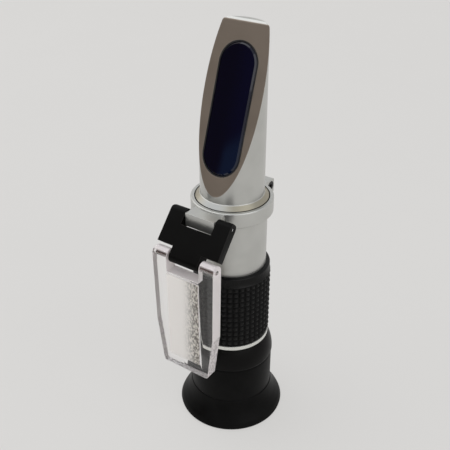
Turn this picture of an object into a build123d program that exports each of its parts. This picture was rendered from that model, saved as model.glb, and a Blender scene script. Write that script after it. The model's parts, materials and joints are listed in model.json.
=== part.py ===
"""Handheld refractometer, standing on its rubber eyecup with the daylight plate swung open.

Millimetres, +Z up the barrel. The origin is the centre of the eyecup's rim, on the plane that the
instrument stands on. -Y is the hinge side, which the bevelled prism face looks towards.
A side view is drawn in two coordinates: out, the distance from the barrel's axis towards -Y, and z.
"""
import os
from math import atan2, cos, degrees, pi, radians, sin, sqrt, tan

from build123d import *

# Fits
RUN = 0.06              # radial clearance of a pin or shaft that turns
SLIDE = 0.12            # radial clearance of the lens carrier and the focus ring
END_GAP = 0.2           # axial play of the focus ring
SIDE_GAP = 0.35         # play beside a hinge lug, tongue or ear
MARGIN = 1.0            # of a cutting shape past the shape that it cuts

# Eyecup, from the plane it stands on
eyecup_height = 28.4
eyecup_rim_radius = 22.1
eyecup_flare_height = 12.0
eyecup_neck_radius = 17.0
eyecup_lip = 0.2
eyecup_rim_round = 1.3
eyecup_rim_flat = 0.9
eyecup_web_height = 8.6
eyecup_web = 1.3
eyecup_web_ledge = 1.0  # of the web inside the bowl
eyecup_hole_radius = 12.0
eyecup_neck_edge = 0.5

# Focus ring
focus_ring_height = 9.3
focus_ring_radius = 17.3
focus_ring_top_radius = 15.0
focus_shoulder_height = 8.4
focus_spigot_radius = 15.0
focus_edge_depth = 0.6
focus_edge_height = 0.7
focus_pitch = 5.4       # advance of the lens carrier in one turn
focus_travel = 1.5      # of the lens carrier, each way from the middle

# Trim ring and grip
trim_ring_height = 1.9
trim_ring_radius = 15.2
grip_length = 33.0
grip_radius = 15.55
grip_foot = 0.7
grip_band_length = 4.2
grip_band_radius = 15.2
grip_bead = 0.25
grip_edge = 0.6
grip_wall_overlap = 0.3 # of the knurled part over the sleeve's end rings
knurl_depth = 0.85
knurl_rows = 12
knurl_columns = 40
knurl_land = 0.4        # ridge left on each pyramid's top

# Barrel tube
tube_radius = 13.5
tube_bore_radius = 12.0
bare_tube_length = 28.8

# Hinge collar
collar_height = 6.2
collar_radius = 15.7
collar_chamfer = 0.45
collar_edge = 0.3
flange_seat_depth = 1.5
flange_gap = 0.3
lug_width = 12.7
lug_reach = 20.8
lug_drop = 0.6          # of the lug's top below the collar's top
lug_foot = 3.85         # of the lug's underside below its pin
ear_width = 11.8
ear_reach = 20.5
ear_slot = 1.2
ear_round = 0.8
clamp_screw_radius = 1.25
clamp_head_radius = 2.15
clamp_head_length = 2.6
clamp_drop = 2.8        # of the screw's axis below the collar's top
clamp_end_depth = 0.6   # of the screw's end inside its ear
clamp_socket_radius = 1.1
clamp_socket_depth = 1.4

# Prism head
head_length = 63.4      # above the collar
head_radius = 12.15
head_spigot_length = 8.0
head_bore_radius = 8.5
flange_radius = 13.95
flange_cone_height = 1.7
bevel_angle = 18.8      # between the bevelled face and the barrel's axis
bevel_start = 4.3       # of the bevel above the collar
head_back_wall = 1.2
head_round = 1.6        # of the edges round the head's top

# Prism, measured up the bevel from its lowest point
glass_start = 7.8
glass_length = 47.1
glass_width = 15.0
glass_depth = 11.0
glass_rise = 0.45       # of the measuring face above the bevel
glass_chamfer = 0.7
glass_foot = 1.4        # of the glass below the bevel's end of its measuring face
seal_width = 0.55
seal_depth = 2.0

# Link and its two pins
lug_pin_out = 18.7      # of the lug's pin from the barrel's axis
lug_pin_drop = 2.3      # of the lug's pin below the collar's top
pin_radius = 0.9
pin_end_depth = 1.0     # of the plate pin's ends inside the ears
link_length = 16.0      # between the two pins
link_lean = 41.0        # from the vertical, with the plate open
link_thickness = 4.4
link_inset = 0.2        # of the link's shoulders inside the plate's edges
link_taper = 0.2        # of the link's top corners inside its shoulders
link_shoulder = 12.55    # of the shoulders from the lug's pin
link_web = 4.4         # of the web from the lug's pin
link_step = 0.5
link_step_height = 1.6
link_pocket_wall = 1.3
link_corner = 1.2
lug_corner_gap = 0.3    # between the lug's lower corner and the web as it swings past

# Daylight plate, measured from its own pin
plate_length = 49.0
plate_thickness = 5.0
plate_width = 27.2
plate_waist_width = 26.1
plate_tip_width = 20.7
plate_waist = 29.4
plate_edge = 5.7        # of the panel between the ears
plate_gap = 0.3         # between the closed plate's pad and the glass
tongue_width = 12.7
ear_inner_gap = 0.8
pad_start = 6.3
pad_length = 37.0
pad_width = 14.2
pad_height = 0.5
plate_corner = 1.2

# Eyepiece mount, carrier and lenses
mount_radius = 13.2
mount_bore_radius = 11.3
mount_thread_length = 9.0
mount_bottom = 12.4
clip_height = 1.0
clip_wall = 1.35
clip_depth = 0.6
clip_rise = 0.9         # of the snap ring above the mount's lower end
clip_opening = 50.0
carrier_length = 24.0
carrier_wall = 1.1
carrier_seat = 1.2
carrier_start = 10.2
guide_pin_radius = 1.0
guide_reach = 0.8       # of the guide pin into the focus ring
guide_drop = 2.4        # of the guide pin below the eyecup's top
eye_lens_edge = 1.6
eye_lens_centre = 3.6
field_lens_edge = 1.4
field_lens_centre = 3.4
retainer_height = 1.6
retainer_wall = 1.6
spacer_wall = 0.8

# Reticle, objective and compensation strip
reticle_height = 47.5
reticle_thickness = 1.5
reticle_ring_length = 6.0
reticle_seat = 1.2
objective_height = 76.0
objective_cell_length = 6.0
objective_edge = 1.5
objective_centre = 3.2
objective_seat = 1.2
strip_width = 5.0
strip_length = 9.5
strip_thickness = 0.6
strip_foot = 1.4
strip_gap = 0.1         # between the blade's edges and the bore of the rings
rivet_radius = 0.5
rivet_depth = 2.0
rivet_pitch = 2.7

# A cylinder that stands on its own origin
UP = (Align.CENTER, Align.CENTER, Align.MIN)

# Levels along the barrel
focus_top = eyecup_height + focus_ring_height
guide_height = eyecup_height - guide_drop
trim_bottom = focus_top + END_GAP
grip_bottom = trim_bottom + trim_ring_height
grip_top = grip_bottom + grip_length
knurl_foot = grip_bottom + grip_foot
knurl_top = grip_top - grip_band_length
collar_top = grip_top + bare_tube_length
collar_bottom = collar_top - collar_height
tube_top = collar_top - flange_seat_depth
head_base = collar_top + flange_cone_height
head_top = collar_top + head_length
bevel_level = collar_top + bevel_start

# Widths of the link, which follow the plate's
link_shoulder_width = plate_width - 2 * link_inset
link_top_width = link_shoulder_width - 2 * link_taper

# Hinge geometry in the side view
lug_pin = (lug_pin_out, collar_top - lug_pin_drop)
lean = radians(link_lean)
plate_pin = (lug_pin[0] + link_length * sin(lean), lug_pin[1] - link_length * cos(lean))
bevel = radians(bevel_angle)
bevel_plane = Plane(origin=(0, -head_radius, bevel_level), x_dir=(1, 0, 0), z_dir=(0, -cos(bevel), sin(bevel)))


def ring(*outline):
    """Solid turned about the barrel's axis from an outline of (radius, z) points."""
    return revolve(Plane.XZ * make_face(Polyline(*outline, close=True)), Axis.Z)


def turned(*edges):
    """Solid turned about the barrel's axis from an outline of lines and arcs."""
    return revolve(Plane.XZ * make_face(edges), Axis.Z)


def tube(outer, inner, low, high):
    """Plain ring between two radii and two heights."""
    return ring((inner, low), (outer, low), (outer, high), (inner, high))


def disc(radius, low, high):
    """Plain round disc between two heights."""
    return Pos(0, 0, low) * Cylinder(radius, high - low, align=UP)


def side_plane(out=0.0, z=0.0, turn=0.0):
    """Plane of the side view through the barrel's axis, with its origin at (out, z)."""
    angle = radians(turn)
    return Plane(origin=(0, -out, z), x_dir=(0, -cos(angle), sin(angle)), z_dir=(-1, 0, 0))


def side_solid(sketch, width, plane=None):
    """Side-view sketch made into a solid, half its width to each side of the barrel's axis."""
    return extrude((plane or side_plane()) * sketch, width / 2, both=True)


def cross_pin(radius, length, centre):
    """Cylinder along X through a point of the side view."""
    return Plane(origin=(0, -centre[0], centre[1]), z_dir=(1, 0, 0)) * Cylinder(radius, length)


def banded(curve, bands):
    """Outline along a curve whose turned face is a few narrow cones, which mesh far lighter."""
    return Polyline(*[curve @ (k / bands) for k in range(bands + 1)])


def lens(radius, clear, edge, centre, low, up=1):
    """Plano-convex lens standing on the level low, domed out to the radius clear, upwards or downwards."""
    sag = centre - edge
    dome_radius = (clear ** 2 + sag ** 2) / (2 * sag)
    flat = low if up > 0 else low + edge
    blank = disc(clear, min(flat, flat + up * centre), max(flat, flat + up * centre))
    ball = Pos(0, 0, flat + up * (centre - dome_radius)) * Rot(0, up * 90, 0) * Sphere(dome_radius)
    return (blank & ball) + disc(radius, low, low + edge)


def stadium(width, length):
    """Round-ended slot drawn up the bevel, centred on the glass."""
    centre = glass_start + glass_length / 2
    return Pos(0, centre) * SlotOverall(length, width, rotation=90)


def eyecup():
    """Flared rubber cup with a bowl for the eye, a web round the lens and a neck over the spigot."""
    lip_radius = eyecup_neck_radius + eyecup_lip
    rim_round = eyecup_rim_round
    flare_out = eyecup_rim_radius - lip_radius
    flare_rise = eyecup_flare_height - rim_round
    outer = ThreePointArc(
        (lip_radius, eyecup_flare_height),
        (lip_radius + flare_out * 0.34, eyecup_flare_height - flare_rise * 0.48),
        (eyecup_rim_radius, rim_round),
    )
    rim = TangentArc((eyecup_rim_radius, rim_round), (eyecup_rim_radius - rim_round, 0), tangent=(0, -1))
    bowl_rim = eyecup_rim_radius - rim_round - eyecup_rim_flat
    web_bottom = eyecup_web_height - eyecup_web
    bowl_top = eyecup_hole_radius + eyecup_web_ledge
    bowl = ThreePointArc(
        (bowl_rim, 0),
        (bowl_top + (bowl_rim - bowl_top) * 0.66, web_bottom * 0.56),
        (bowl_top, web_bottom),
    )
    neck = Polyline(
        (bowl_top, web_bottom),
        (eyecup_hole_radius, web_bottom),
        (eyecup_hole_radius, eyecup_web_height),
        (focus_spigot_radius, eyecup_web_height),
        (focus_spigot_radius, eyecup_height),
        (eyecup_neck_radius - 2 * eyecup_neck_edge, eyecup_height),
        (eyecup_neck_radius - eyecup_neck_edge / 2, eyecup_height - eyecup_neck_edge),
        (eyecup_neck_radius, eyecup_flare_height + eyecup_lip),
        (lip_radius, eyecup_flare_height),
    )
    foot = Line((eyecup_rim_radius - rim_round, 0), (bowl_rim, 0))
    return turned(banded(outer, 7), banded(rim, 3), foot, banded(bowl, 4), neck)


def guide_groove(width_gap):
    """Helical track of the guide pin, cut into the focus ring's bore."""
    track_radius = guide_pin_radius + width_gap
    turn = 360 * 2 * focus_travel / focus_pitch
    start = -turn / 2
    low = guide_height - focus_travel
    reach = mount_radius + SLIDE + guide_reach + width_gap
    middle = (mount_bore_radius + reach) / 2
    path = Pos(0, 0, low) * Rot(0, 0, start) * Helix(focus_pitch, 2 * focus_travel, middle)
    section = Plane(origin=path @ 0, x_dir=(0, 0, 1), z_dir=path % 0)
    depth = reach - mount_bore_radius
    track = sweep(section * Rectangle(2 * track_radius, depth), path, is_frenet=True)
    ends = [
        Rot(0, 0, angle) * Pos(middle, 0, level) * Rot(0, 90, 0) * Cylinder(track_radius, depth)
        for angle, level in ((start, low), (start + turn, low + 2 * focus_travel))
    ]
    return track + ends


def focus_ring():
    """Black ring with a domed shoulder, a spigot for the eyecup and the guide pin's track inside."""
    bore = mount_radius + SLIDE
    shoulder_low = focus_top - focus_shoulder_height
    recess = mount_radius + clip_wall - clip_depth + SLIDE
    clip_shelf = mount_bottom + clip_rise + clip_height + 2 * END_GAP
    dome = TangentArc((focus_ring_radius, shoulder_low), (focus_ring_top_radius, focus_top), tangent=(0, 1))
    body = Polyline(
        (focus_ring_top_radius, focus_top),
        (bore, focus_top),
        (bore, clip_shelf),
        (recess, clip_shelf),
        (recess, eyecup_web_height),
        (focus_spigot_radius, eyecup_web_height),
        (focus_spigot_radius, eyecup_height),
        (focus_ring_radius - focus_edge_depth, eyecup_height),
        (focus_ring_radius - focus_edge_depth / 3, eyecup_height + focus_edge_height / 3),
        (focus_ring_radius, eyecup_height + focus_edge_height),
        (focus_ring_radius, shoulder_low),
    )
    return turned(dome, body) - guide_groove(SLIDE)


def trim_ring():
    """Pale ring round the rear end of the tube, between the grip and the focus ring."""
    edge = 0.3
    return ring(
        (tube_radius, trim_bottom),
        (trim_ring_radius - edge, trim_bottom),
        (trim_ring_radius, trim_bottom + edge),
        (trim_ring_radius, grip_bottom),
        (tube_radius, grip_bottom),
    )


def knurl_ridges():
    """Rows of sharp ridges round the grip, flat-sided so that grooves leave square pyramids."""
    pitch = (knurl_top - knurl_foot) / knurl_rows
    root = grip_radius - knurl_depth
    levels = [(root, knurl_foot)]
    for row in range(knurl_rows):
        levels.append((grip_radius, knurl_foot + (row + 0.5) * pitch))
        levels.append((root, knurl_foot + (row + 1) * pitch))
    outlines = [Pos(0, 0, z) * RegularPolygon(radius, knurl_columns, major_radius=False) for radius, z in levels]
    return loft(outlines, ruled=True)


def knurl_groove():
    """One lengthwise groove of the grip, as deep as the pyramids and as wide as their flanks leave it."""
    root = grip_radius - knurl_depth
    mouth = pi * grip_radius / knurl_columns - knurl_land / 2
    reach = grip_radius + 2 * knurl_depth
    spread = mouth * (reach - root) / knurl_depth
    vee = make_face(Polyline((root, 0), (reach, spread), (reach, -spread), close=True))
    return extrude(Pos(0, 0, knurl_foot) * vee, knurl_top - knurl_foot)


def grip_sleeve():
    """Rubber sleeve: rows of small square pyramids below a smooth band with a fine bead."""
    groove = knurl_groove()
    knurl = knurl_ridges() - [Rot(0, 0, 360 * k / knurl_columns) * groove for k in range(knurl_columns)]
    core = grip_radius - knurl_depth
    ends = ring(
        (tube_radius, grip_bottom),
        (core, grip_bottom),
        (core, knurl_top),
        (grip_band_radius + grip_bead, knurl_top),
        (grip_band_radius + grip_bead, knurl_top + grip_bead),
        (grip_band_radius, knurl_top + 2 * grip_bead),
        (grip_band_radius, grip_top - grip_edge),
        (grip_band_radius - grip_edge, grip_top),
        (tube_radius, grip_top),
    )
    return (knurl - disc(core - grip_wall_overlap, knurl_foot, knurl_top)) + ends


def body_tube():
    """Plain aluminium tube, open at both ends."""
    return tube(tube_radius, tube_bore_radius, trim_bottom, tube_top)


def lug_profile():
    """Side view of the hinge lug: a block whose lower front corner is rounded for the link's web."""
    low = lug_pin[1] - lug_foot
    high = collar_top - lug_drop
    block = make_face(Polyline((tube_radius, low), (tube_radius, high), (lug_reach, high), (lug_reach, low), close=True))
    corner = Rectangle(link_web, link_web, align=(Align.MIN, Align.MAX)) - Circle(link_web - lug_corner_gap)
    return block - Pos(*lug_pin) * corner


def hinge_collar():
    """Split ring round the head's flange, with the hinge lug in front and the pinch ears behind."""
    seat = flange_radius + flange_gap
    body = ring(
        (tube_radius, collar_bottom),
        (collar_radius - collar_chamfer, collar_bottom),
        (collar_radius, collar_bottom + collar_chamfer),
        (collar_radius, collar_top - collar_edge),
        (collar_radius - collar_edge, collar_top),
        (seat, collar_top),
        (seat, tube_top),
        (tube_radius, tube_top),
    )
    body += side_solid(lug_profile(), lug_width)
    ears = Box(ear_width, ear_reach - tube_radius, collar_height, align=(Align.CENTER, Align.MIN, Align.MIN))
    ears = Pos(0, tube_radius, collar_bottom) * ears
    body += fillet(ears.edges().filter_by(Axis.X).group_by(Axis.Y)[-1], ear_round)
    body -= disc(tube_radius, collar_bottom, tube_top)
    body -= disc(seat, tube_top, collar_top)
    body -= cross_pin(pin_radius + RUN, lug_width + MARGIN, lug_pin)
    slot = Box(ear_slot, ear_reach, collar_height + 2 * MARGIN, align=(Align.CENTER, Align.MIN, Align.MIN))
    body -= Pos(0, 0, collar_bottom - MARGIN) * slot
    return body - clamp_screw_shape(0)


def clamp_screw_shape(socket_radius):
    """Screw across the pinch ears, sunk in the ear on the +X side, with a hexagon socket if it has a radius."""
    y = (collar_radius + ear_reach) / 2
    place = Plane(origin=(ear_width / 2, y, collar_top - clamp_drop), z_dir=(1, 0, 0))
    down = (Align.CENTER, Align.CENTER, Align.MAX)
    shank = Cylinder(clamp_screw_radius, ear_width - clamp_end_depth, align=down)
    screw = shank + Cylinder(clamp_head_radius, clamp_head_length, align=down)
    if socket_radius:
        screw -= extrude(RegularPolygon(socket_radius, 6), -clamp_socket_depth)
    return place * screw


def flange_and_barrel():
    """The head before its bevel: spigot, flange, cone and cylinder with a rounded top edge."""
    spigot_bottom = tube_top - head_spigot_length
    side = (head_radius, head_top - head_round)
    roof = (head_radius - head_round, head_top)
    body = Polyline(
        roof,
        (0, head_top),
        (0, spigot_bottom),
        (tube_bore_radius, spigot_bottom),
        (tube_bore_radius, tube_top),
        (flange_radius, tube_top),
        (flange_radius, collar_top),
        (head_radius, head_base),
        side,
    )
    return turned(body, TangentArc(side, roof, tangent=(0, 1)))


def bevel_waste():
    """Side view of what the bevel takes off the head, with the round that joins it to the top."""
    up = (-sin(bevel), cos(bevel))
    corner = (head_radius - (head_top - bevel_level) * tan(bevel), head_top)
    setback = head_round / tan((pi / 2 + bevel) / 2)
    start = (corner[0] - up[0] * setback, corner[1] - up[1] * setback)
    end = (corner[0] - setback, head_top)
    low = (head_radius - up[0] * MARGIN, bevel_level - up[1] * MARGIN)
    return make_face([
        Line(low, start),
        TangentArc(start, end, tangent=up),
        Polyline(end, (end[0], head_top + MARGIN), (low[0], head_top + MARGIN), low),
    ])


def exit_level():
    """Level of the glass's lower end, where the light leaves it for the bore."""
    return bevel_level + glass_start * cos(bevel) - glass_foot


def prism_blank():
    """Glass block through the bevel, ground round behind where the head's back wall needs the room."""
    face = bevel_plane.offset(glass_rise)
    block = extrude(face * stadium(glass_width, glass_length), -glass_depth)
    top = block.faces().sort_by(Axis(bevel_plane.origin, bevel_plane.z_dir))[-1]
    block = chamfer(top.edges(), glass_chamfer)
    return block & disc(head_radius - head_back_wall, exit_level(), head_top)


def prism():
    """Glass prism, its chamfered measuring face just proud of the bevel."""
    return prism_blank()


def prism_seal():
    """Black seal round the glass, flush with the bevel."""
    rim = stadium(glass_width + 2 * seal_width, glass_length + 2 * seal_width)
    return extrude(bevel_plane * (rim - stadium(glass_width, glass_length)), -seal_depth)


def prism_head():
    """Aluminium head, cut off by the long bevel, bored for the light and pocketed for the prism."""
    head = flange_and_barrel()
    head -= side_solid(bevel_waste(), 2 * head_radius + 2 * MARGIN)
    head -= disc(head_bore_radius, tube_top - head_spigot_length, exit_level())
    rim = stadium(glass_width + 2 * seal_width, glass_length + 2 * seal_width)
    head -= extrude(bevel_plane * rim, -seal_depth)
    return head - prism_blank()


def link_plane():
    """Plane of the side view at the lug's pin, x down the link, y out of its outer face."""
    return side_plane(lug_pin[0], lug_pin[1], link_lean - 90)


def hinge_link():
    """Black link: two arms beside the lug, a web, shoulders and the tongue between the plate's ears."""
    half = link_thickness / 2
    blank = SlotCenterToCenter(link_length, link_thickness)
    solid = side_solid(Pos(link_length / 2, 0) * blank, link_shoulder_width + 2 * MARGIN, link_plane())
    face = Plane(origin=link_plane().origin, x_dir=(1, 0, 0), z_dir=link_plane().y_dir)
    arm = link_top_width / 2
    shoulder = link_shoulder_width / 2
    tongue = tongue_width / 2
    outline = make_face(Polyline(
        (-arm, half), (arm, half), (shoulder, -link_shoulder), (tongue, -link_shoulder),
        (tongue, -link_length - half - MARGIN), (-tongue, -link_length - half - MARGIN),
        (-tongue, -link_shoulder), (-shoulder, -link_shoulder), close=True,
    ))
    outline = fillet(outline.vertices().group_by(Axis.Y)[-1], link_corner)
    solid &= extrude(face * outline, link_thickness, both=True)
    notch = Rectangle(lug_width + 2 * SIDE_GAP, half + MARGIN + link_web, align=(Align.CENTER, Align.MIN))
    solid -= extrude(face * Pos(0, -link_web) * notch, link_thickness, both=True)
    solid -= cross_pin(pin_radius, link_shoulder_width + 2 * MARGIN, lug_pin)
    solid -= cross_pin(pin_radius + RUN, tongue_width + 2 * MARGIN, plate_pin)
    return solid - link_underside(face)


def link_underside(face):
    """Moulding's underside: stepped edges beside the arms and two pockets between its ribs."""
    half = link_thickness / 2
    under = Plane(origin=face.origin - face.z_dir * half, x_dir=face.x_dir, z_dir=face.z_dir)
    cut = []
    for side in (-1, 1):
        step = Rectangle(2 * link_step, link_shoulder + half + 2 * MARGIN, align=(Align.CENTER, Align.MAX))
        cut.append(extrude(under * Pos(side * link_shoulder_width / 2, half + MARGIN) * step, link_step_height))
    wall = link_pocket_wall
    length = link_shoulder - link_web - 2 * wall
    width = (link_shoulder_width - 2 * link_step - 5 * wall) / 4
    for column in range(4):
        x = (column - 1.5) * (width + wall)
        pocket = Rectangle(width, length, align=(Align.CENTER, Align.MAX))
        cut.append(extrude(under * Pos(x, -link_web - wall) * pocket, link_thickness - wall))
    return cut


def plate_frame():
    """Plane of the open plate's face through its pin, x to the side and y up the plate."""
    return Plane(origin=(0, -plate_pin[0], plate_pin[1]), x_dir=(1, 0, 0), z_dir=(0, -1, 0))


def daylight_plate():
    """Clear plate with two pinned ears, a tapering tip and the frosted pad that meets the prism."""
    half = plate_thickness / 2
    side = make_face([
        TangentArc((0, half), (0, -half), tangent=(-1, 0)),
        Polyline((0, -half), (plate_length, -half), (plate_length, half), (0, half)),
    ])
    plate = side_solid(side, plate_width, side_plane(plate_pin[0], plate_pin[1], -90))
    top = plate_width / 2
    waist = plate_waist_width / 2
    tip = plate_tip_width / 2
    outline = make_face(Polyline(
        (-top, half), (top, half), (top, 0), (waist, -plate_waist), (tip, -plate_length),
        (-tip, -plate_length), (-waist, -plate_waist), (-top, 0), close=True,
    ))
    ends = outline.vertices().group_by(Axis.Y)
    outline = fillet(ends[0] + ends[-1], plate_corner)
    plate &= extrude(plate_frame() * outline, plate_thickness, both=True)
    room = tongue_width + 2 * ear_inner_gap
    opening = Rectangle(room, plate_edge + half + MARGIN, align=(Align.CENTER, Align.MIN))
    plate -= extrude(plate_frame() * Pos(0, -plate_edge) * opening, plate_thickness, both=True)
    pad = Rectangle(pad_width, pad_length, align=(Align.CENTER, Align.MAX))
    plate += extrude(plate_frame() * Pos(0, -pad_start, 0) * pad, half + pad_height)
    return plate - cross_pin(pin_radius, plate_width + 2 * MARGIN, plate_pin)


def link_pin_solid():
    """Steel pin of the lug, pressed into the link's arms."""
    return cross_pin(pin_radius, link_top_width - 2 * link_step, lug_pin)


def plate_pin_solid():
    """Steel pin of the plate, pressed into its ears."""
    return cross_pin(pin_radius, plate_width - 2 * pin_end_depth, plate_pin)


def eyepiece_mount():
    """Bush screwed into the tube's rear end, slotted for the guide pin and grooved for the clip."""
    floor = mount_radius - clip_depth
    low = mount_bottom + clip_rise
    high = low + clip_height
    mount = ring(
        (mount_bore_radius, mount_bottom),
        (mount_radius, mount_bottom),
        (mount_radius, low),
        (floor, low),
        (floor, high),
        (mount_radius, high),
        (mount_radius, trim_bottom),
        (tube_bore_radius, trim_bottom),
        (tube_bore_radius, trim_bottom + mount_thread_length),
        (mount_bore_radius, trim_bottom + mount_thread_length),
    )
    slot = SlotCenterToCenter(2 * focus_travel, 2 * (guide_pin_radius + SLIDE), rotation=90)
    window = Plane(origin=(0, 0, guide_height), x_dir=(0, 1, 0), z_dir=(1, 0, 0)) * slot
    return mount - extrude(window, mount_radius + MARGIN)


def focus_clip():
    """Open snap ring in the mount's groove, under the focus ring's shelf."""
    inner = mount_radius - clip_depth
    low = mount_bottom + clip_rise
    clip = tube(inner + clip_wall, inner, low, low + clip_height)
    reach = 2 * (inner + clip_wall)
    half = radians(clip_opening / 2)
    wedge = make_face(Polyline((0, 0), (-reach, reach * tan(half)), (-reach, -reach * tan(half)), close=True))
    return clip - extrude(Pos(0, 0, low - MARGIN) * wedge, clip_height + 2 * MARGIN)


def lens_carrier():
    """Tube that carries both lenses, with a seat at its top end and the guide pin's hole."""
    outer = mount_bore_radius - SLIDE
    bore = outer - carrier_wall
    low = carrier_start
    high = low + carrier_length
    carrier = ring(
        (bore, low),
        (outer, low),
        (outer, high),
        (bore - retainer_wall, high),
        (bore - retainer_wall, high - carrier_seat),
        (bore, high - carrier_seat),
    )
    hole = Cylinder(guide_pin_radius, outer + MARGIN, align=UP)
    return carrier - Plane(origin=(0, 0, guide_height), z_dir=(1, 0, 0)) * hole


def carrier_bore():
    """Radius that the lenses, their spacer and their retaining ring sit in."""
    return mount_bore_radius - SLIDE - carrier_wall


def guide_screw():
    """Headless screw in the carrier whose end runs in the focus ring's track."""
    start = carrier_bore()
    length = mount_radius + SLIDE + guide_reach - start
    place = Plane(origin=(start, 0, guide_height), z_dir=(1, 0, 0))
    return place * Cylinder(guide_pin_radius, length, align=UP)


def eye_seat():
    """Level of the eye lens's lower rim, on its retaining ring."""
    return carrier_start + retainer_height


def field_seat():
    """Level of the field lens's lower rim, on the spacer."""
    return carrier_start + carrier_length - carrier_seat - field_lens_edge


def eye_lens():
    """Lens at the eye's end of the carrier, domed inwards."""
    bore = carrier_bore()
    return lens(bore, bore - retainer_wall, eye_lens_edge, eye_lens_centre, eye_seat())


def field_lens():
    """Lens at the scale's end of the carrier, domed towards the eye."""
    bore = carrier_bore()
    return lens(bore, bore - retainer_wall, field_lens_edge, field_lens_centre, field_seat(), up=-1)


def lens_spacer():
    """Tube between the two lenses."""
    bore = carrier_bore()
    return tube(bore, bore - spacer_wall, eye_seat() + eye_lens_edge, field_seat())


def lens_retainer():
    """Screwed ring that holds the eye lens, the spacer and the field lens on the carrier's seat."""
    bore = carrier_bore()
    return tube(bore, bore - retainer_wall, carrier_start, eye_seat())


def reticle():
    """Glass disc that carries the scale."""
    low = reticle_height + reticle_seat
    return disc(tube_bore_radius - carrier_wall, low, low + reticle_thickness)


def reticle_ring():
    """Seat of the reticle in the tube."""
    inner = tube_bore_radius - carrier_wall
    step = inner - retainer_wall
    low = reticle_height
    high = low + reticle_ring_length
    return ring(
        (step, low), (tube_bore_radius, low), (tube_bore_radius, high), (inner, high),
        (inner, low + reticle_seat), (step, low + reticle_seat),
    )


def reticle_retainer():
    """Screwed ring on top of the reticle."""
    inner = tube_bore_radius - carrier_wall
    low = reticle_height + reticle_seat + reticle_thickness
    return tube(inner, inner - retainer_wall, low, reticle_height + reticle_ring_length)


def objective_cell():
    """Seat of the objective in the tube."""
    inner = tube_bore_radius - carrier_wall
    step = inner - retainer_wall
    low = objective_height
    high = low + objective_cell_length
    return ring(
        (step, low), (tube_bore_radius, low), (tube_bore_radius, high), (inner, high),
        (inner, low + objective_seat), (step, low + objective_seat),
    )


def objective_lens():
    """Lens that images the shadow line on the reticle."""
    radius = tube_bore_radius - carrier_wall
    low = objective_height + objective_seat
    return lens(radius, radius - 2 * retainer_wall, objective_edge, objective_centre, low)


def strip_place():
    """Level of the compensation strip's foot, and the X of its blade's outer face."""
    reach = tube_bore_radius - carrier_wall - strip_gap
    return objective_height + objective_cell_length, -sqrt(reach ** 2 - (strip_width / 2) ** 2)


def objective_retainer():
    """Screwed ring on the objective, with the land that the strip's foot is fixed to."""
    inner = tube_bore_radius - carrier_wall
    low = objective_height + objective_seat + objective_edge
    level, _ = strip_place()
    retainer = tube(inner, inner - 2 * retainer_wall, low, level)
    return retainer - rivet_shanks()


def rivet_shanks():
    """Shanks of the strip's two rivets, from the retainer's land up through the strip's foot."""
    level, blade_x = strip_place()
    shank = Pos(blade_x + strip_thickness + strip_foot, 0, level - rivet_depth)
    shank *= Cylinder(rivet_radius, rivet_depth + strip_thickness, align=UP)
    return [Pos(0, side * rivet_pitch / 2, 0) * shank for side in (-1, 1)]


def bimetal_strip():
    """L-shaped bimetal strip, its foot on the objective's ring and its blade up the bore."""
    level, blade_x = strip_place()
    corner = (Align.MIN, Align.CENTER, Align.MIN)
    foot = Box(2 * strip_foot + strip_thickness, strip_width, strip_thickness, align=corner)
    blade = Box(strip_thickness, strip_width, strip_length, align=corner)
    return Pos(blade_x, 0, level) * (foot + blade) - rivet_shanks()


def strip_rivets():
    """Two rivets that hold the strip's foot on the objective's retaining ring."""
    return Compound(children=rivet_shanks())


NODES = {
    "body_tube": body_tube,
    "prism_head": prism_head,
    "prism": prism,
    "prism_seal": prism_seal,
    "hinge_collar": hinge_collar,
    "collar_screw": lambda: clamp_screw_shape(clamp_socket_radius),
    "objective_cell": objective_cell,
    "objective_lens": objective_lens,
    "objective_retainer": objective_retainer,
    "bimetal_strip": bimetal_strip,
    "strip_rivets": strip_rivets,
    "reticle": reticle,
    "reticle_ring": reticle_ring,
    "reticle_retainer": reticle_retainer,
    "grip_sleeve": grip_sleeve,
    "trim_ring": trim_ring,
    "eyepiece_mount": eyepiece_mount,
    "focus_clip": focus_clip,
    "focus_ring": focus_ring,
    "eyecup": eyecup,
    "lens_carrier": lens_carrier,
    "guide_screw": guide_screw,
    "eye_lens": eye_lens,
    "field_lens": field_lens,
    "lens_spacer": lens_spacer,
    "lens_retainer": lens_retainer,
    "hinge_link": hinge_link,
    "link_pin": link_pin_solid,
    "daylight_plate": daylight_plate,
    "plate_pin": plate_pin_solid,
}


def closed_pose():
    """Angles that bring the plate down on the prism: the link's swing and the plate's on the link."""
    offset = plate_thickness / 2 + pad_height + plate_gap + glass_rise
    foot = (head_radius + offset * cos(bevel) - lug_pin[0], bevel_level + offset * sin(bevel) - lug_pin[1])
    along = (-sin(bevel), cos(bevel))
    reach = foot[0] * along[0] + foot[1] * along[1]
    up = -reach + sqrt(reach ** 2 - foot[0] ** 2 - foot[1] ** 2 + link_length ** 2)
    closed = degrees(atan2(foot[1] + up * along[1], foot[0] + up * along[0]))
    link_swing = closed + 90 - link_lean
    plate_swing = 90 + bevel_angle + 90 - link_swing
    return link_swing, plate_swing


if __name__ == "__main__":
    os.makedirs("parts", exist_ok=True)
    for name, build in NODES.items():
        export_step(build(), f"parts/{name}.step")
    link_swing, plate_swing = closed_pose()
    print("lug pin", lug_pin, "plate pin", plate_pin)
    print("link swing", link_swing, "plate swing", plate_swing)
    print("height", head_top)
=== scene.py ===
"""Looks of the handheld refractometer: softened pieces, finishes, floor, light and camera."""
import json
from math import cos, pi, radians, sin

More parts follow.
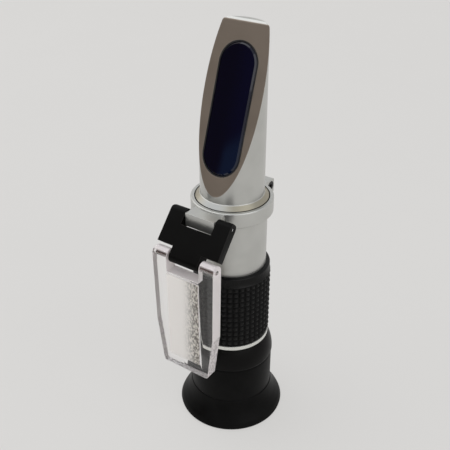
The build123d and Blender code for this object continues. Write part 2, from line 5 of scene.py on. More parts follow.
import bmesh
import bpy
from bpy.props import FloatProperty, FloatVectorProperty, IntProperty, PointerProperty
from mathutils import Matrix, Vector


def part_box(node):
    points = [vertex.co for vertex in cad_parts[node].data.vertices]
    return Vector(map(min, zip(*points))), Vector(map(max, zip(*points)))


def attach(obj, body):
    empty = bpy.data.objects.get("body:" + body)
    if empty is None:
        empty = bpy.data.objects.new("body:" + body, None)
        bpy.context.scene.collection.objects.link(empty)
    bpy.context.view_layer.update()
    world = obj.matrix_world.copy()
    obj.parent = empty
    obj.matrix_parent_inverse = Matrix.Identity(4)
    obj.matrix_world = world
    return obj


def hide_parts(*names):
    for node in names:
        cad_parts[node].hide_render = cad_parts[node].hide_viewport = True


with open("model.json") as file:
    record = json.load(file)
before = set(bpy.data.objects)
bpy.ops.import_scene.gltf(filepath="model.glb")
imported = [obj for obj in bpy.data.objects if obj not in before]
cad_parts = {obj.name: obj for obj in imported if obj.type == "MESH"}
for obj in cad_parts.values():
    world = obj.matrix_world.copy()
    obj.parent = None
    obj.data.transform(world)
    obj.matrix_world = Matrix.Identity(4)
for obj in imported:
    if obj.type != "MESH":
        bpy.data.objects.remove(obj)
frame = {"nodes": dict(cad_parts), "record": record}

bl_info = {
    "name": "Handheld Refractometer Looks",
    "version": (1, 0, 0),
    "blender": (4, 5, 0),
    "location": "3D View > Sidebar > Refractometer",
    "description": "Finishes, softened pieces and studio for the packed refractometer",
    "category": "Object",
}

MM = 0.001
BEVEL = radians(18.8)                               # of the ground face from the barrel's axis
BEVEL_FOOT = Vector((0, -12.15, 105.9)) * MM        # its lowest point
BEVEL_OUT = Vector((0, -cos(BEVEL), sin(BEVEL)))    # its normal
BEVEL_UP = Vector((0, sin(BEVEL), cos(BEVEL)))      # its upward line
HEAD_RADIUS = 12.15 * MM                            # of the head above its flange
FLANGE_RADIUS = 13.95 * MM
COLLAR_BORE = 14.25 * MM                            # round the flange
PAD_HALF_WIDTH = 7.1 * MM
PAD_START = 6.3 * MM                                # of the pad below the plate's pin
PAD_END = 43.3 * MM
PLATE_WAIST = 29.4 * MM                             # below the plate's pin
GRIP_FOOT = 0.7 * MM                                # of the pyramids above the sleeve's end
SHARP = radians(28)                                 # edges sharper than this are rounded
JOINT_SHADE = (0.012, 0.011, 0.010)
BODY_OF = {node: body for body, nodes in frame["record"]["behaviour"]["bodies"].items() for node in nodes}


def radius_of(node):
    """Largest half-width of a node along X, in metres."""
    low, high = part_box(node)
    return max(high.x, -low.x)


# Shader maths

class Field:
    """A value, colour or vector in a material, with arithmetic that adds the nodes it needs."""

    def __init__(self, finish, socket):
        self.finish = finish
        self.socket = socket

    def work(self, operation, first, second):
        sides = (first, second)
        vector = any(isinstance(side, tuple) or getattr(side, "is_vector", False) for side in sides)
        kind = "ShaderNodeVectorMath" if vector else "ShaderNodeMath"
        return self.finish.node(kind, {"operation": operation}, {0: first, 1: second})

    @property
    def is_vector(self):
        return self.socket.type == "VECTOR"

    def __add__(self, other):
        return self.work("ADD", self, other)

    def __radd__(self, other):
        return self.work("ADD", other, self)

    def __sub__(self, other):
        return self.work("SUBTRACT", self, other)

    def __rsub__(self, other):
        return self.work("SUBTRACT", other, self)

    def __mul__(self, other):
        return self.work("MULTIPLY", self, other)

    def __truediv__(self, other):
        return self.work("DIVIDE", self, other)

    def __abs__(self):
        return self.finish.node("ShaderNodeMath", {"operation": "ABSOLUTE"}, {0: self})

    def __gt__(self, other):
        return self.work("GREATER_THAN", self, other)

    def ramp(self, low, high):
        """0 below low, 1 above high, and a smooth step between them; falling where low is above high."""
        return self.finish.node(
            "ShaderNodeMapRange",
            {"interpolation_type": "SMOOTHSTEP", "clamp": True},
            {"Value": self, "From Min": low, "From Max": high, "To Min": 0.0, "To Max": 1.0},
        )


class Finish:
    """A material or world under construction: nodes by type, and the patterns that finishes share."""

    def __init__(self, name, library="materials", output="ShaderNodeOutputMaterial"):
        self.owner = getattr(bpy.data, library).new(name)
        self.owner.use_nodes = True
        self.tree = self.owner.node_tree
        self.tree.nodes.clear()
        self.output = self.tree.nodes.new(output)

    def node(self, kind, settings=None, inputs=None, output=0):
        """A node of a type, with its settings made first and then the values or links of its sockets."""
        made = self.tree.nodes.new(kind)
        for name, value in (settings or {}).items():
            setattr(made, name, value)
        for key, value in (inputs or {}).items():
            if isinstance(value, Field):
                self.tree.links.new(value.socket, made.inputs[key])
            else:
                made.inputs[key].default_value = value
        return Field(self, made.outputs[output])

    def place(self):
        """Position on the piece, in metres, in the frame that the piece was drawn in."""
        return self.node("ShaderNodeTexCoord", output="Object")

    def facing(self, direction):
        """Cosine between the surface and a direction, in the frame that the piece was drawn in."""
        return self.dot(self.node("ShaderNodeTexCoord", output="Normal"), direction)

    def dot(self, first, second):
        """Dot product of two vectors."""
        inputs = {0: first, 1: tuple(second)}
        return self.node("ShaderNodeVectorMath", {"operation": "DOT_PRODUCT"}, inputs, "Value")

    def along(self, direction, origin=(0, 0, 0)):
        """Distance in metres along a direction from an origin."""
        return self.dot(self.place() - tuple(origin), direction)

    def seen(self):
        """1 where something shows to the eye, in a reflection or through glass, and 0 where it lights."""
        camera = self.node("ShaderNodeLightPath", output="Is Camera Ray")
        glossy = self.node("ShaderNodeLightPath", output="Is Glossy Ray")
        through = self.node("ShaderNodeLightPath", output="Is Transmission Ray")
        return (camera + glossy + through) > 0.5

    def from_axis(self):
        """Distance in metres from the barrel's axis."""
        flat = self.place() * (1, 1, 0)
        return self.node("ShaderNodeVectorMath", {"operation": "LENGTH"}, {0: flat}, "Value")

    def noise(self, size, detail=3.0, stretch=(1, 1, 1), roughness=0.5):
        """Noise from 0 to 1 whose features are about size metres, less where stretch is above 1."""
        inputs = {
            "Vector": self.place() * tuple(stretch),
            "Scale": 1 / size,
            "Detail": detail,
            "Roughness": roughness,
        }
        return self.node("ShaderNodeTexNoise", {"noise_dimensions": "3D"}, inputs, "Fac")

    def edges(self, width):
        """1 on edges rounded over a width in metres, 0 on the open surface."""
        rounded = self.node("ShaderNodeBevel", {"samples": 4}, {"Radius": width})
        plain = self.node("ShaderNodeNewGeometry", output="Normal")
        settings = {"operation": "DOT_PRODUCT"}
        return self.node("ShaderNodeVectorMath", settings, {0: rounded, 1: plain}, "Value").ramp(0.99, 0.86)

    def mix(self, factor, first, second):
        """Colour between two colours."""
        settings = {"data_type": "RGBA", "clamp_factor": True}
        return self.node("ShaderNodeMix", settings, {0: factor, 6: first, 7: second}, 2)

    def bump(self, height, depth, strength=1.0, rounding=0.0):
        """Surface normal for a height from 0 to 1 over depth metres, on edges rounded over a width."""
        inputs = {"Height": height, "Distance": depth, "Strength": strength}
        if rounding:
            inputs["Normal"] = self.node("ShaderNodeBevel", {"samples": 6}, {"Radius": rounding})
        return self.node("ShaderNodeBump", {}, inputs)

    def surface(self, colour, **sockets):
        """Principled shader; socket names are written with underscores for spaces."""
        inputs = {"Base Color": colour}
        inputs.update({name.replace("_", " "): value for name, value in sockets.items()})
        return self.node("ShaderNodeBsdfPrincipled", {}, inputs)

    def blend(self, factor, first, second):
        """Shader between two shaders."""
        return self.node("ShaderNodeMixShader", {}, {0: factor, 1: first, 2: second})

    def done(self, shader):
        self.tree.links.new(shader.socket, self.output.inputs["Surface"])
        return self.owner


def rgba(colour, scale=1.0):
    """Opaque colour for a socket from the red, green and blue of a setting."""
    return (colour[0] * scale, colour[1] * scale, colour[2] * scale, 1.0)


# Finishes

def satin(made, colour):
    """Turning marks, clouding, grain and tone that the machined aluminium shares."""
    marks = made.noise(0.9 * MM, detail=2.0, stretch=(0.35, 0.35, 14))
    cloud = made.noise(9 * MM, detail=2.0)
    grain = made.noise(0.16 * MM, detail=2.0)
    blotch = cloud.ramp(0.3, 0.7) * 0.5 + marks * 0.35
    return marks, cloud, grain, made.mix(blotch, rgba(colour, 0.90), rgba(colour, 1.05))


def turned_aluminium(name, colour, roughness, rounding, bore=0.0):
    """Satin anodised aluminium: fine turning marks, paler edges and shade within a bore's radius."""
    made = Finish(name)
    marks, cloud, grain, tone = satin(made, colour)
    worn = made.edges(0.22 * MM)
    tone = made.mix(worn * 0.25, tone, rgba(colour, 1.3))
    if bore:
        shade = made.from_axis().ramp(bore + 0.12 * MM, bore + 0.02 * MM)
        tone = made.mix(shade * 0.95, tone, rgba(JOINT_SHADE))
    rough = roughness + (cloud - 0.5) * 0.10 + (marks - 0.5) * 0.08 - worn * 0.1
    normal = made.bump(grain * 0.6 + marks * 0.4, 0.006 * MM, 0.55, rounding)
    return made.done(made.surface(tone, Metallic=0.86, Roughness=rough, Normal=normal))


def bevelled_aluminium(name, colour, face_colour, rounding):
    """Satin aluminium of the head, with painted reflections: brown on the ground bevel, warm on the cone's
    sides; and a shaded joint.
    """
    made = Finish(name)
    marks, cloud, grain, tone = satin(made, colour)
    worn = made.edges(0.2 * MM)
    radius = made.from_axis()
    cone = radius.ramp(HEAD_RADIUS + 0.1 * MM, HEAD_RADIUS + 0.3 * MM)
    joint = radius.ramp(FLANGE_RADIUS - 0.12 * MM, FLANGE_RADIUS - 0.03 * MM)
    height = abs(made.along(BEVEL_OUT, BEVEL_FOOT))
    ground = height.ramp(0.12 * MM, 0.04 * MM) * made.facing(BEVEL_OUT).ramp(0.8, 0.95) * (1 - cone)
    # Painted reflection: the ground face keeps its own grain and clouding, in a brown that is painted
    # reflection.
    ground_face_with_painted_brown = made.mix(grain * 0.6 + cloud * 0.4, rgba(face_colour, 0.88), rgba(face_colour, 1.10))
    tone = made.mix(ground, tone, ground_face_with_painted_brown)
    # Painted reflection: the cone's sides facing along X are tinted warm yellow, and its front is left grey.
    sides = abs(made.facing((1, 0, 0))).ramp(0.1, 0.5)
    painted_warm_reflection = made.mix(sides * (0.6 + cloud * 0.4), rgba((0.34, 0.345, 0.335)), rgba((0.36, 0.32, 0.225)))
    tone = made.mix(cone * 0.9, tone, painted_warm_reflection)
    tone = made.mix(worn * 0.3, tone, rgba(colour, 1.1))
    tone = made.mix(joint * 0.95, tone, rgba(JOINT_SHADE))
    rough = 0.33 + (cloud - 0.5) * 0.10 + (marks - 0.5) * 0.08 + ground * 0.12 - worn * 0.08
    normal = made.bump(grain * 0.6 + marks * 0.4, 0.006 * MM, 0.55, rounding)
    return made.done(made.surface(tone, Metallic=0.86, Roughness=rough, Normal=normal))


def polished_steel(name, colour=(0.72, 0.72, 0.73), roughness=0.22):
    """Ground steel with faint scratches round it."""
    made = Finish(name)
    scratches = made.noise(0.5 * MM, detail=3.0, stretch=(12, 1, 1))
    tone = made.mix(scratches, rgba(colour, 0.85), rgba(colour, 1.08))
    normal = made.bump(scratches, 0.004 * MM, 0.5)
    rough = roughness + (scratches - 0.5) * 0.12
    return made.done(made.surface(tone, Metallic=1.0, Roughness=rough, Normal=normal))


def black_oxide(name):
    """Blackened steel with a rubbed rim."""
    made = Finish(name)
    blotch = made.noise(0.8 * MM, detail=3.0)
    worn = made.edges(0.12 * MM)
    tone = made.mix(blotch, rgba((0.010, 0.010, 0.011)), rgba((0.024, 0.024, 0.026)))
    tone = made.mix(worn * 0.4, tone, rgba((0.16, 0.16, 0.17)))
    normal = made.bump(blotch, 0.004 * MM, 0.4)
    return made.done(made.surface(tone, Metallic=0.7, Roughness=0.36 + (blotch - 0.5) * 0.15, Normal=normal))


def blackened_metal(name):
    """Matte black anodised parts inside the tube, with turning rings."""
    made = Finish(name)
    rings = made.noise(0.4 * MM, detail=2.0, stretch=(0.3, 0.3, 6))
    tone = made.mix(rings, rgba((0.008, 0.008, 0.009)), rgba((0.022, 0.022, 0.024)))
    normal = made.bump(rings, 0.01 * MM, 0.5)
    return made.done(made.surface(tone, Metallic=0.3, Roughness=0.55 + (rings - 0.5) * 0.1, Normal=normal))


def brass(name):
    """Turned brass with a light tarnish."""
    made = Finish(name)
    rings = made.noise(0.5 * MM, detail=2.0, stretch=(0.3, 0.3, 8))
    tarnish = made.noise(4 * MM, detail=3.0)
    tone = made.mix(tarnish.ramp(0.35, 0.75), rgba((0.72, 0.52, 0.22)), rgba((0.42, 0.28, 0.12)))
    normal = made.bump(rings, 0.008 * MM, 0.5)
    rough = 0.30 + (tarnish - 0.5) * 0.25
    return made.done(made.surface(tone, Metallic=1.0, Roughness=rough, Normal=normal))


def bimetal(name):
    """Rolled bimetal: grey alloy on one face and a copper tint on the other."""
    made = Finish(name)
    rolled = made.noise(0.7 * MM, detail=3.0, stretch=(1, 1, 0.15))
    copper = made.facing((1, 0, 0)).ramp(0.2, 0.8)
    tone = made.mix(copper, rgba((0.55, 0.55, 0.53)), rgba((0.66, 0.40, 0.24)))
    tone = made.mix(rolled * 0.3, tone, rgba((0.35, 0.33, 0.31)))
    return made.done(made.surface(tone, Metallic=1.0, Roughness=0.34 + (rolled - 0.5) * 0.15))


def moulded_rubber(name, colour, gloss=0.07):
    """Black rubber with a fine mould grain and a greyer bloom in patches."""
    made = Finish(name)
    grain = made.noise(0.22 * MM, detail=3.0, roughness=0.6)
    bloom = made.noise(7 * MM, detail=3.0)
    tone = made.mix(bloom.ramp(0.35, 0.75), rgba(colour, 0.75), rgba(colour, 1.45))
    rough = 0.42 + (bloom - 0.5) * 0.14 + (grain - 0.5) * 0.08
    normal = made.bump(grain, 0.012 * MM, 0.6)
    return made.done(made.surface(tone, Roughness=rough, Normal=normal, Specular_IOR_Level=gloss))


def knurled_rubber(name, colour, root, depth, band):
    """Rubber of the grip, rubbed paler on the tips of its pyramids and glossier on its smooth band."""
    made = Finish(name)
    grain = made.noise(0.2 * MM, detail=3.0)
    bloom = made.noise(9 * MM, detail=2.0)
    height = ((made.from_axis() - root) / depth).ramp(0.35, 1.0)
    plain = made.along((0, 0, 1)).ramp(band - 0.1 * MM, band + 0.1 * MM)
    tone = made.mix(bloom * 0.6 + grain * 0.3, rgba(colour, 0.7), rgba(colour, 1.3))
    tone = made.mix(height * (1 - plain) * 0.5, tone, rgba(colour, 3.2))
    rough = 0.75 - height * (1 - plain) * 0.42 - plain * 0.48 + (grain - 0.5) * 0.1
    normal = made.bump(grain, 0.012 * MM, 0.5)
    return made.done(made.surface(tone, Roughness=rough, Normal=normal, Specular_IOR_Level=0.17))


def moulded_plastic(name, colour):
    """Black moulded plastic with a spark-eroded grain, and edges rubbed a little smoother and lightened by a
    painted highlight.
    """
    made = Finish(name)
    grain = made.noise(0.14 * MM, detail=2.0)
    cloud = made.noise(5 * MM, detail=3.0)
    worn = made.edges(0.3 * MM)
    tone = made.mix(cloud, rgba(colour, 0.8), rgba(colour, 1.3))
    # Painted highlight: the rounded edges are made up to twelve times paler than the plastic.
    tone = made.mix(worn * 0.7, tone, rgba(colour, 12.0))
    rough = 0.42 + (cloud - 0.5) * 0.12 - worn * 0.08
    normal = made.bump(grain, 0.010 * MM, 0.6)
    return made.done(made.surface(tone, Roughness=rough, Normal=normal, Specular_IOR_Level=0.06))


def coated_ring(name, colour):
    """Semi-gloss black coating of the focus ring over fine turning marks."""
    made = Finish(name)
    turning = made.noise(0.5 * MM, detail=2.0, stretch=(0.3, 0.3, 7))
    cloud = made.noise(8 * MM, detail=2.0)
    worn = made.edges(0.25 * MM)
    tone = made.mix(cloud, rgba(colour, 0.8), rgba(colour, 1.4))
    tone = made.mix(worn * 0.3, tone, rgba(colour, 5.0))
    rough = 0.36 + (cloud - 0.5) * 0.10 + (turning - 0.5) * 0.10
    normal = made.bump(turning, 0.006 * MM, 0.5)
    return made.done(made.surface(tone, Roughness=rough, Normal=normal, Specular_IOR_Level=0.09))


def dark_prism(name, deep, painted_foot_reflection, middle, length):
    """Prism glass over its dark cavity: almost black, with painted reflections that make it bluer to one
    side and in a patch at its foot.
    """
    made = Finish(name)
    rise = made.along(BEVEL_UP, middle) / length
    side = made.along((1, 0, 0)) / (7 * MM)
    wave = made.noise(16 * MM, detail=1.0)
    # Painted reflection: bluer towards +X, and a brighter blue patch at the foot on that side.
    right = (side + wave * 0.5).ramp(-0.1, 1.2)
    foot = (rise * -1.0 + side * 0.12 + wave * 0.12).ramp(0.26, 0.42)
    tone = made.mix(right, rgba(deep), rgba((deep[0] * 1.3, deep[1] * 1.5, deep[2] * 1.8)))
    tone = made.mix(foot * 0.75 * right.ramp(0.0, 0.5), tone, rgba(painted_foot_reflection))
    smears = made.noise(3 * MM, detail=4.0, stretch=(1, 1, 0.4))
    rough = 0.035 + smears.ramp(0.5, 0.8) * 0.05
    return made.done(made.surface(tone, Roughness=rough, IOR=1.45, Coat_Weight=0.05, Coat_Roughness=0.03))


def lens_glass(name, tint):
    """Coated optical glass, a little dusty."""
    made = Finish(name)
    dust = made.noise(0.6 * MM, detail=4.0)
    rough = 0.01 + dust.ramp(0.62, 0.8) * 0.15
    sockets = {"Transmission_Weight": 1.0, "IOR": 1.52, "Coat_Weight": 0.4, "Coat_Roughness": 0.02}
    return made.done(made.surface(rgba(tint), Roughness=rough, **sockets))


def clear_acrylic(name, tint, front, half_width, low, high, waist):
    """Moulded acrylic: clear broad faces, frosted edges, and a raised pad crinkled towards one side, where
    the crinkle is painted with shade and reflection.
    """
    made = Finish(name)
    side = made.along((1, 0, 0))
    level = made.along((0, 0, 1))
    out = made.along((0, -1, 0))
    edge = 0.12 * MM
    pad_middle = front - 0.25 * MM
    inside = abs(side).ramp(half_width + edge, half_width - edge)
    inside = inside * level.ramp(low - edge, low + edge) * level.ramp(high + edge, high - edge)
    pad = inside * out.ramp(pad_middle - edge, pad_middle + edge)
    wall = abs(made.facing((0, 1, 0))).ramp(0.85, 0.6)
    crinkle = made.noise(0.8 * MM, detail=3.0, stretch=(1.2, 1, 0.7), roughness=0.6)
    fine = made.noise(0.32 * MM, detail=2.0)
    smudges = made.noise(6 * MM, detail=3.0)
    rightward = (side + smudges * (2.5 * MM)).ramp(0.5 * MM, 7.8 * MM)
    relief = crinkle.ramp(0.3, 0.7) * 0.7 + fine * 0.3
    clear = made.surface(
        rgba(tint), Roughness=0.02 + smudges.ramp(0.55, 0.8) * 0.05, IOR=1.49, Transmission_Weight=1.0,
        Normal=made.bump(smudges, 0.02 * MM, 0.15),
    )
    sawn = wall * level.ramp(waist, waist - 1.0 * MM)
    cloudy = made.mix(sawn * relief.ramp(0.6, 0.35), rgba((0.96, 0.90, 0.90)), rgba((0.58, 0.54, 0.54)))
    scuffs = made.bump(fine * (1 - sawn) * 0.1 + relief * sawn, 0.1 * MM, 0.6)
    rough = 0.30 + smudges * 0.15
    milky = made.surface(cloudy, Roughness=rough, IOR=1.49, Transmission_Weight=0.4, Normal=scuffs)
    lucid = made.surface(cloudy, Roughness=rough, IOR=1.49, Transmission_Weight=0.85, Normal=scuffs)
    milky = made.blend(made.facing((-1, 0, 0)).ramp(0.4, 0.8), milky, lucid)
    # Painted shade and reflection: the crinkle's relief darkens the pad towards +X, over the frost's own
    # pale colour.
    shaded = made.mix(relief.ramp(0.25, 0.75), rgba((0.15, 0.13, 0.11)), rgba((0.80, 0.75, 0.68)))
    pad_frost_and_painted_shade = made.mix(rightward, rgba((0.97, 0.93, 0.89)), shaded)
    frosted = made.surface(
        pad_frost_and_painted_shade, Roughness=0.42 + fine * 0.2, IOR=1.49, Transmission_Weight=0.3,
        Normal=made.bump(relief * (rightward * 0.85 + 0.15), 0.16 * MM, 0.9),
    )
    return made.done(made.blend(pad, made.blend(wall, clear, milky), frosted))


def etched_glass(name):
    """Glass disc with a fine generic scale: short lines up its middle."""
    made = Finish(name)
    side = made.along((1, 0, 0))
    up = made.along((0, 1, 0))
    step = 0.5 * MM
    phase = made.node("ShaderNodeMath", {"operation": "FRACT"}, {0: up / step + 40.0})
    lines = phase.ramp(0.82, 0.9) * abs(side).ramp(2.2 * MM, 2.1 * MM) * abs(up).ramp(7.1 * MM, 7.0 * MM)
    clear = made.surface(rgba((0.97, 0.98, 0.98)), Roughness=0.02, IOR=1.52, Transmission_Weight=1.0)
    ink = made.surface(rgba((0.01, 0.01, 0.012)), Roughness=0.5)
    return made.done(made.blend(lines, clear, ink))


def studio_floor(name, colour):
    """Pale matte paper with a very faint mottle, whose shadows are lightened to the eye."""
    made = Finish(name)
    mottle = made.noise(60 * MM, detail=3.0)
    creases = made.noise(240 * MM, detail=2.0, stretch=(1, 0.35, 1))
    tone = made.mix(mottle * 0.5 + creases * 0.5, rgba(colour, 0.985), rgba(colour, 1.01))
    paper = made.surface(tone, Roughness=0.85, Specular_IOR_Level=0.1)
    level = made.node("ShaderNodeEmission", {}, {"Color": tone, "Strength": 1.0})
    far = made.from_axis().ramp(0.25, 1.6)
    return made.done(made.blend(made.seen() * (0.75 + far * 0.25), paper, level))


def soft_flag(name, colour, size):
    """Brown cloth of the flag that darkens the front of the metal, thinning out towards its edges."""
    made = Finish(name)
    reach = made.node("ShaderNodeVectorMath", {"operation": "LENGTH"}, {0: made.place()}, "Value")
    cloth = made.node("ShaderNodeEmission", {}, {"Color": rgba(colour), "Strength": 1.0})
    clear = made.node("ShaderNodeBsdfTransparent")
    return made.done(made.blend((reach / size).ramp(1.0, 0.55), clear, cloth))


# Pieces

def dress(node, material):
    """Gives a CAD node its finish."""
    data = frame["nodes"][node].data
    data.materials.clear()
    data.materials.append(material)


def add_piece(name, mesh, node, material):
    """A new piece in the scene that stands for a CAD node and rides on the node's body."""
    piece = bpy.data.objects.new(name, mesh)
    bpy.context.scene.collection.objects.link(piece)
    mesh.materials.clear()
    mesh.materials.append(material)
    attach(piece, BODY_OF[node])
    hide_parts(node)
    return piece


def finished_mesh(work, name):
    """Mesh with what was built in a bmesh, which is freed."""
    mesh = bpy.data.meshes.new(name)
    work.to_mesh(mesh)
    work.free()
    return mesh


def smooth(mesh, angle):
    """Smooth shading with edges sharper than an angle kept."""
    for polygon in mesh.polygons:
        polygon.use_smooth = True
    mesh.set_sharp_from_angle(angle=angle)


def softened(node, name, material, width, segments=3):
    """Copy of a CAD node whose sharp edges are rounded over."""
    work = bmesh.new()
    work.from_mesh(frame["nodes"][node].data)
    bmesh.ops.remove_doubles(work, verts=work.verts, dist=0.001 * MM)
    bmesh.ops.dissolve_limit(work, angle_limit=radians(0.3), verts=work.verts, edges=work.edges)
    mesh = finished_mesh(work, name)
    smooth(mesh, SHARP)
    piece = add_piece(name, mesh, node, material)
    rounding = piece.modifiers.new("Rounded edges", "BEVEL")
    rounding.width = width
    rounding.segments = segments
    rounding.limit_method = "ANGLE"
    rounding.angle_limit = SHARP
    rounding.use_clamp_overlap = True
    rounding.harden_normals = True
    rounding.miter_outer = "MITER_ARC"
    return piece


def lathe(outline, steps):
    """Mesh turned about the barrel's axis from closed (radius, z) points in metres."""
    work = bmesh.new()
    rows = []
    for step in range(steps):
        angle = 2 * pi * step / steps
        rows.append([work.verts.new((r * cos(angle), r * sin(angle), z)) for r, z in outline])
    count = len(outline)
    for step in range(steps):
        here, there = rows[step], rows[(step + 1) % steps]
        for k in range(count):
            work.faces.new((here[k], there[k], there[(k + 1) % count], here[(k + 1) % count]))
    bmesh.ops.recalc_face_normals(work, faces=work.faces)
    return work


def between(before, start, end, after, t):
    """Value at a share t of the way from start to end, on a smooth curve through four values."""
    slope = (end - before) * t
    bend = (2 * before - 5 * start + 4 * end - after) * t ** 2
    twist = (3 * start - before - 3 * end + after) * t ** 3
    return 0.5 * (2 * start + slope + bend + twist)


def curved(points, count):
    """Points along a smooth curve through a few given ones."""
    made = []
    for k in range(len(points) - 1):
        before = points[max(k - 1, 0)]
        start, end = points[k], points[k + 1]
        after = points[min(k + 2, len(points) - 1)]
        for step in range(count):
            share = step / count
            made.append(tuple(between(*four, share) for four in zip(before, start, end, after)))
    return made + [points[-1]]


# Settings

class FinishColours(bpy.types.PropertyGroup):
    """Colours that the finishes are mixed from."""

    aluminium: FloatVectorProperty(
        name="Aluminium", description="Anodised head, tube and collar", subtype="COLOR",
        default=(0.55, 0.55, 0.525))
    # The bevel face's brown is a painted reflection.
    bevel: FloatVectorProperty(
        name="Bevel face", description="Ground face round the prism", subtype="COLOR",
        default=(0.325, 0.272, 0.225))
    trim: FloatVectorProperty(
        name="Trim ring", description="Pale ring below the grip", subtype="COLOR",
        default=(0.80, 0.80, 0.76))
    glass: FloatVectorProperty(
        name="Prism", description="Deepest tone of the prism", subtype="COLOR",
        default=(0.0010, 0.0011, 0.0072))
    # Colour of the painted reflection at the prism's foot.
    painted_foot_reflection: FloatVectorProperty(
        name="Prism foot", description="Bluer patch at the prism's foot", subtype="COLOR",
        default=(0.004, 0.010, 0.030))
    rubber: FloatVectorProperty(
        name="Rubber", description="Grip, eyecup and seal", subtype="COLOR",
        default=(0.0028, 0.0027, 0.0026))
    plastic: FloatVectorProperty(
        name="Plastic", description="Link and focus ring", subtype="COLOR",
        default=(0.0030, 0.0028, 0.0026))
    acrylic: FloatVectorProperty(
        name="Acrylic", description="Tint of the daylight plate", subtype="COLOR",
        default=(0.985, 0.975, 0.97))
    floor: FloatVectorProperty(
        name="Floor", description="Paper that the instrument stands on", subtype="COLOR",
        default=(0.70, 0.69, 0.675))


class SoftEdges(bpy.types.PropertyGroup):
    """Widths that sharp edges are rounded over."""

    metal: FloatProperty(
        name="Metal", description="Rounding of the metal's edges", subtype="DISTANCE", default=0.2 * MM)
    link: FloatProperty(
        name="Link", description="Rounding of the link's edges", subtype="DISTANCE", default=0.35 * MM)
    plate: FloatProperty(
        name="Plate", description="Rounding of the daylight plate's edges", subtype="DISTANCE",
        default=0.35 * MM)


class GripKnurl(bpy.types.PropertyGroup):
    """Pattern of small pyramids on the grip."""

    columns: IntProperty(name="Columns", description="Pyramids round the grip", default=40, min=12)
    rows: IntProperty(name="Rows", description="Pyramids along the grip", default=12, min=4)
    depth: FloatProperty(
        name="Depth", description="Height of a pyramid", subtype="DISTANCE", default=0.85 * MM)
    band: FloatProperty(
        name="Band", description="Length of the smooth band above the pyramids", subtype="DISTANCE",
        default=4.2 * MM)


class StudioLight(bpy.types.PropertyGroup):
    """Strength of the lamps and of the room's light."""

    room: FloatProperty(name="Room", description="Strength of the surrounding light", default=0.8, min=0)
    key: FloatProperty(
        name="Key", description="Large lamp above the left shoulder", unit="POWER", default=17.0)
    fill: FloatProperty(name="Fill", description="Large lamp to the right", unit="POWER", default=6.0)
    floor_size: FloatProperty(
        name="Floor", description="Radius of the floor", subtype="DISTANCE", default=4.0)


class CameraPlace(bpy.types.PropertyGroup):
    """Where the camera stands and looks."""

    azimuth: FloatProperty(
        name="Azimuth", description="Turn to the right of the hinge side", subtype="ANGLE",
        default=radians(34.0))
    distance: FloatProperty(
        name="Distance", description="From the barrel's axis, along the floor", subtype="DISTANCE",
        default=232.4 * MM)
    height: FloatProperty(
        name="Height", description="Above the floor", subtype="DISTANCE", default=225.5 * MM)
    tilt: FloatProperty(
        name="Tilt", description="Downward tilt", subtype="ANGLE", default=radians(30.61))
    pan: FloatProperty(
        name="Pan", description="Turn away from the barrel's axis", subtype="ANGLE", default=radians(-0.67))
    lens: FloatProperty(
        name="Lens", description="Focal length on a 36 mm sensor", unit="CAMERA", default=56.0)


# Operators

class REFRACTOMETER_OT_metalwork(bpy.types.Operator):
    """Gives the head, tube, collar and trim ring their satin finish"""

    bl_idname = "refractometer.metalwork"
    bl_label = "Metalwork"

    def execute(self, context):
        colours = context.scene.refractometer_colours
        edges = context.scene.refractometer_edges
        plain = turned_aluminium("satin aluminium", colours.aluminium, 0.36, edges.metal)
        dress("prism_head", bevelled_aluminium("satin head", colours.aluminium, colours.bevel, edges.metal))
        ring = turned_aluminium("satin collar", colours.aluminium, 0.36, edges.metal, COLLAR_BORE)
        dress("hinge_collar", ring)
        dress("body_tube", plain)
        dress("trim_ring", turned_aluminium("bright trim", colours.trim, 0.28, edges.metal))
        dress("collar_screw", black_oxide("blackened screw"))
        return {"FINISHED"}


class REFRACTOMETER_OT_prism(bpy.types.Operator):
    """Gives the prism its deep blue glass and the seal its rubber"""

    bl_idname = "refractometer.prism"
    bl_label = "Prism"

    def execute(self, context):
        colours = context.scene.refractometer_colours
        low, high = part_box("prism")
        middle = (low + high) / 2
        length = (high.z - low.z) / cos(BEVEL)
        dress("prism", dark_prism("deep blue prism", colours.glass, colours.painted_foot_reflection, middle, length))
        dress("prism_seal", moulded_rubber("seal rubber", (0.022, 0.022, 0.022), 0.3))
        return {"FINISHED"}


